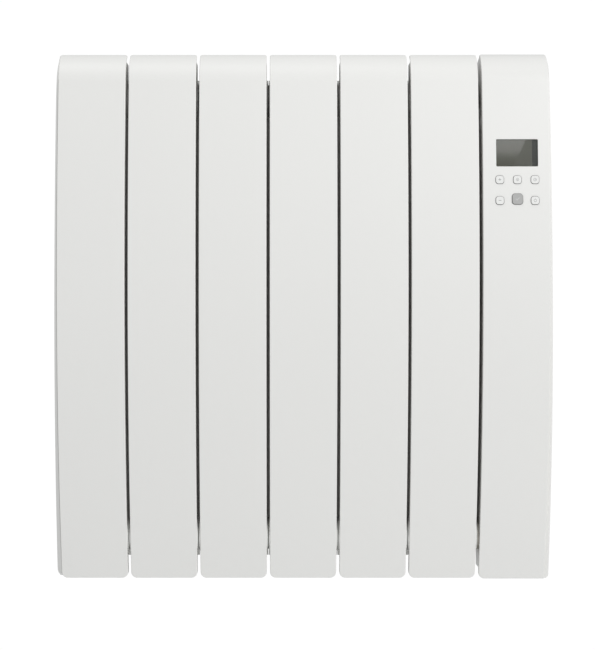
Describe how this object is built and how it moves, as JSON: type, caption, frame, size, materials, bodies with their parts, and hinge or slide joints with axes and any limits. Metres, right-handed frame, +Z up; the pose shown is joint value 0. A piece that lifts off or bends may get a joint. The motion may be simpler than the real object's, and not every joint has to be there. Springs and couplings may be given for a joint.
{
  "type": "wall-hung oil filled radiator",
  "caption": "Wall-hung oil filled radiator: a row of bowed die-cast sections with end panels, and a control housing with a display and keys at one end.",
  "frame": {"origin": "on the wall, in the middle of the four bracket holes, at half the heater's height and in the middle of its seven modules", "axes": "+Z up, -Y out of the wall towards the room, +X to the right for someone who faces the heater"},
  "size_m": [0.5669, 0.098, 0.6038],
  "materials": {
    "black_plastic": "moulded",
    "bracket_steel": "white powder coated steel strip",
    "circuit_board": "green solder mask",
    "cutout_plastic": "moulded phenolic",
    "element_sheath": "stainless sheath",
    "gasket_fibre": "compressed fibre gasket",
    "gland_plastic": "moulded nylon",
    "grey_key": "grey moulded key with a faint symbol",
    "lcd_glass": "grey green liquid crystal display, off",
    "nipple_steel": "machined steel, threaded",
    "pad_rubber": "moulded rubber pad",
    "plug_steel": "zinc plated steel",
    "relay_plastic": "moulded",
    "rocker_plastic": "moulded",
    "screw_steel": "zinc plated",
    "terminal_ceramic": "ceramic bush and steel stud",
    "terminal_plastic": "moulded",
    "transformer_core": "laminated core, varnished",
    "white_casting": "satin white powder coat on die-cast aluminium",
    "white_key": "white moulded key with a faint symbol",
    "white_moulding": "satin white moulded plastic",
    "window_clear": "clear acrylic, glossy"
  },
  "bodies": {
    "heater": {"control_board": "circuit_board", "control_front_cover": "white_moulding", "control_rear_shell": "white_moulding", "control_top_cap": "white_moulding", "cord_gland": "gland_plastic", "cover_screws": "screw_steel", "display_window": "window_clear", "element_terminals": "terminal_ceramic", "heating_element": "element_sheath", "joint_gaskets_lower": "gasket_fibre", "joint_gaskets_upper": "gasket_fibre", "lcd_holder": "black_plastic", "lcd_panel": "lcd_glass", "left_side_panel": "white_moulding", "nipples_lower": "nipple_steel", "nipples_upper": "nipple_steel", "plug_lower_left": "plug_steel", "plug_seal_lower_left": "gasket_fibre", "plug_seal_upper_left": "gasket_fibre", "plug_seal_upper_right": "gasket_fibre", "plug_upper_left": "plug_steel", "plug_upper_right": "plug_steel", "power_board": "circuit_board", "power_relay": "relay_plastic", "right_side_panel": "white_moulding", "room_sensor": "gland_plastic", "section_1": "white_casting", "section_2": "white_casting", "section_3": "white_casting", "section_4": "white_casting", "section_5": "white_casting", "section_6": "white_casting", "suppression_capacitor": "relay_plastic", "switch_case": "black_plastic", "tact_switches": "black_plastic", "terminal_block": "terminal_plastic", "thermal_cutout": "cutout_plastic", "transformer": "transformer_core", "wall_bracket_lower_left": "bracket_steel", "wall_bracket_lower_right": "bracket_steel", "wall_bracket_upper_left": "bracket_steel", "wall_bracket_upper_right": "bracket_steel", "wall_pad_lower_left": "pad_rubber", "wall_pad_lower_right": "pad_rubber", "wall_pad_upper_left": "pad_rubber", "wall_pad_upper_right": "pad_rubber"},
    "key_confirm": {"key_confirm": "grey_key"},
    "key_minus": {"key_minus": "white_key"},
    "key_mode": {"key_mode": "white_key"},
    "key_plus": {"key_plus": "white_key"},
    "key_program": {"key_program": "white_key"},
    "key_standby": {"key_standby": "white_key"},
    "switch_rocker": {"switch_rocker": "rocker_plastic"}
  },
  "joints": [
    {"name": "key_confirm_press", "type": "slide", "parent": "heater", "child": "key_confirm", "axis": [0, 0.9974, -0.0717], "range_m": [0, 0.0008], "stiffness_N_per_m": 600},
    {"name": "key_minus_press", "type": "slide", "parent": "heater", "child": "key_minus", "axis": [0, 0.9974, -0.0717], "range_m": [0, 0.0008], "stiffness_N_per_m": 600},
    {"name": "key_mode_press", "type": "slide", "parent": "heater", "child": "key_mode", "axis": [0, 0.9974, -0.0717], "range_m": [0, 0.0008], "stiffness_N_per_m": 600},
    {"name": "key_plus_press", "type": "slide", "parent": "heater", "child": "key_plus", "axis": [0, 0.9974, -0.0717], "range_m": [0, 0.0008], "stiffness_N_per_m": 600},
    {"name": "key_program_press", "type": "slide", "parent": "heater", "child": "key_program", "axis": [0, 0.9974, -0.0717], "range_m": [0, 0.0008], "stiffness_N_per_m": 600},
    {"name": "key_standby_press", "type": "slide", "parent": "heater", "child": "key_standby", "axis": [0, 0.9974, -0.0717], "range_m": [0, 0.0008], "stiffness_N_per_m": 600},
    {"name": "switch_rocker_tilt", "type": "hinge", "parent": "heater", "child": "switch_rocker", "pos_m": [0.22625, -0.0305, -0.288], "axis": [0, 1, 0], "range_deg": [-22, 0]}
  ]
}
